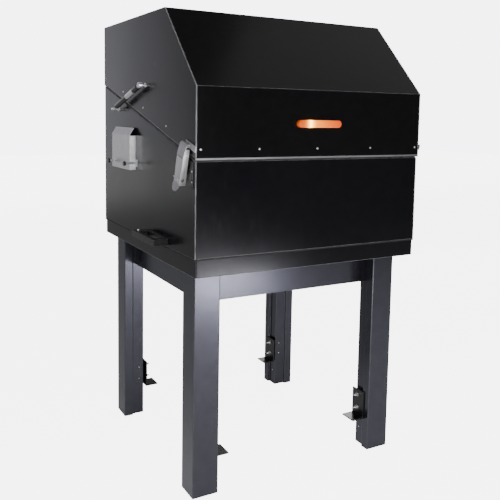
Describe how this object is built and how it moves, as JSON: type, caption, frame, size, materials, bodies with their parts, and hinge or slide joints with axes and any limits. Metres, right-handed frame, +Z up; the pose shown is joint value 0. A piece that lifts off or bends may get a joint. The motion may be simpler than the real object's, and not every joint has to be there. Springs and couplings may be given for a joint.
{
  "type": "microscope acoustic enclosure",
  "caption": "Foam-lined sound enclosure on a steel stand, with a hinged hood on gas struts, claw latches, side handles, a status light and a covered cable port.",
  "frame": {"origin": "bottom centre of the bounding box, on the floor", "axes": "+Z up; the front with the status light faces -Y; +X to the right of someone who faces the front"},
  "size_m": [0.85, 0.8224, 1.382],
  "materials": {
    "hood_paint": "black powder coat, semi-gloss, fine texture",
    "tub_paint": "black powder coat, semi-gloss, fine texture",
    "stand_paint": "dark grey powder coat, satin",
    "stainless": "brushed stainless steel",
    "bright_rim": "matt light grey edge strip",
    "zinc": "bright zinc plate",
    "black_hardware": "black oxide or paint, satin",
    "foam": "charcoal open-cell foam, matt",
    "gasket": "black sponge rubber, matt",
    "orange_lens": "translucent orange acrylic, glossy",
    "light_board": "white circuit board"
  },
  "bodies": {
    "tub_and_stand": {"apron_front": "stand_paint", "apron_left": "stand_paint", "apron_rear": "stand_paint", "apron_right": "stand_paint", "base_pan": "tub_paint", "cable_cover": "stainless", "cable_port_grommet": "gasket", "hinge_leaf_tub_left": "black_hardware", "hinge_leaf_tub_right": "black_hardware", "latch_base_left": "black_hardware", "latch_base_right": "black_hardware", "leg_front_left": "stand_paint", "leg_front_right": "stand_paint", "leg_rear_left": "stand_paint", "leg_rear_right": "stand_paint", "shelf_bracket_front_left": "black_hardware", "shelf_bracket_front_right": "black_hardware", "shelf_bracket_rear_left": "black_hardware", "shelf_bracket_rear_right": "black_hardware", "side_handle_left": "black_hardware", "side_handle_right": "black_hardware", "split_gasket": "gasket", "strut_stud_lower_left": "zinc", "strut_stud_lower_right": "zinc", "tub_floor": "tub_paint", "tub_foam_front": "foam", "tub_foam_left": "foam", "tub_foam_rear": "foam", "tub_foam_right": "foam", "tub_panel_front": "tub_paint", "tub_panel_left": "tub_paint", "tub_panel_rear": "tub_paint", "tub_panel_right": "tub_paint", "tub_rim": "tub_paint"},
    "hood": {"hood_panel_left": "hood_paint", "hood_panel_right": "hood_paint", "hood_wrap": "hood_paint", "hood_rim": "bright_rim", "hood_foam_front_and_top": "foam", "hood_foam_left": "foam", "hood_foam_right": "foam", "hood_foam_rear": "foam", "status_light_lens": "orange_lens", "status_light_board": "light_board", "latch_keeper_left": "stainless", "latch_keeper_right": "stainless", "strut_stud_upper_left": "zinc", "strut_stud_upper_right": "zinc", "hinge_leaf_hood_left": "black_hardware", "hinge_leaf_hood_right": "black_hardware"},
    "latch_lever_left": {"latch_lever_left": "stainless"},
    "latch_claw_left": {"latch_claw_left": "stainless"},
    "strut_cylinder_left": {"strut_cylinder_left": "black_hardware"},
    "strut_rod_left": {"strut_rod_left": "stainless"},
    "latch_lever_right": {"latch_lever_right": "stainless"},
    "latch_claw_right": {"latch_claw_right": "stainless"},
    "strut_cylinder_right": {"strut_cylinder_right": "black_hardware"},
    "strut_rod_right": {"strut_rod_right": "stainless"},
    "thumb_screw_front": {"thumb_screw_front": "stainless"},
    "thumb_screw_rear": {"thumb_screw_rear": "stainless"}
  },
  "joints": [
    {"name": "hood_hinge", "type": "hinge", "parent": "tub_and_stand", "child": "hood", "pos_m": [0, 0.40525, 1.1815], "axis": [-1, 0, 0], "range_deg": [0, 60]},
    {"name": "latch_lever_left", "type": "hinge", "parent": "tub_and_stand", "child": "latch_lever_left", "pos_m": [-0.3905, -0.34162, 0.9648], "axis": [0, 0.9648, 0.2631], "range_deg": [0, 105]},
    {"name": "latch_claw_left", "type": "hinge", "parent": "latch_lever_left", "child": "latch_claw_left", "pos_m": [-0.3965, -0.33478, 0.93972], "axis": [0, -0.9648, -0.2631], "range_deg": [0, 105]},
    {"name": "latch_lever_right", "type": "hinge", "parent": "tub_and_stand", "child": "latch_lever_right", "pos_m": [0.3905, -0.34162, 0.9648], "axis": [0, -0.9648, -0.2631], "range_deg": [0, 105]},
    {"name": "latch_claw_right", "type": "hinge", "parent": "latch_lever_right", "child": "latch_claw_right", "pos_m": [0.3965, -0.33478, 0.93972], "axis": [0, 0.9648, 0.2631], "range_deg": [0, 105]},
    {"name": "strut_pivot_left", "type": "hinge", "parent": "hood", "child": "strut_cylinder_left", "pos_m": [-0.398, -0.02625, 1.169], "axis": [-1, 0, 0], "range_deg": [0, 8]},
    {"name": "strut_slide_left", "type": "slide", "parent": "strut_cylinder_left", "child": "strut_rod_left", "axis": [0, 0.9629, -0.2698], "range_m": [0, 0.189]},
    {"name": "strut_pivot_right", "type": "hinge", "parent": "hood", "child": "strut_cylinder_right", "pos_m": [0.398, -0.02625, 1.169], "axis": [-1, 0, 0], "range_deg": [0, 8]},
    {"name": "strut_slide_right", "type": "slide", "parent": "strut_cylinder_right", "child": "strut_rod_right", "axis": [0, 0.9629, -0.2698], "range_m": [0, 0.189]},
    {"name": "thumb_screw_turn_front", "type": "hinge", "parent": "tub_and_stand", "child": "thumb_screw_front", "pos_m": [-0.3783, 0.05975, 0.926], "axis": [-1, 0, 0], "continuous": true},
    {"name": "thumb_screw_turn_rear", "type": "hinge", "parent": "tub_and_stand", "child": "thumb_screw_rear", "pos_m": [-0.3783, 0.22075, 0.925], "axis": [-1, 0, 0], "continuous": true}
  ],
  "couplings": [
    {"joint": "latch_claw_left", "follows": "latch_lever_left", "ratio": 1},
    {"joint": "latch_claw_right", "follows": "latch_lever_right", "ratio": 1},
    {"joint": "strut_pivot_left", "follows": "hood_hinge", "ratio": 0.12961},
    {"joint": "strut_slide_left", "follows": "hood_hinge", "m_per_rad": 0.17956},
    {"joint": "strut_pivot_right", "follows": "hood_hinge", "ratio": 0.12961},
    {"joint": "strut_slide_right", "follows": "hood_hinge", "m_per_rad": 0.17956}
  ]
}
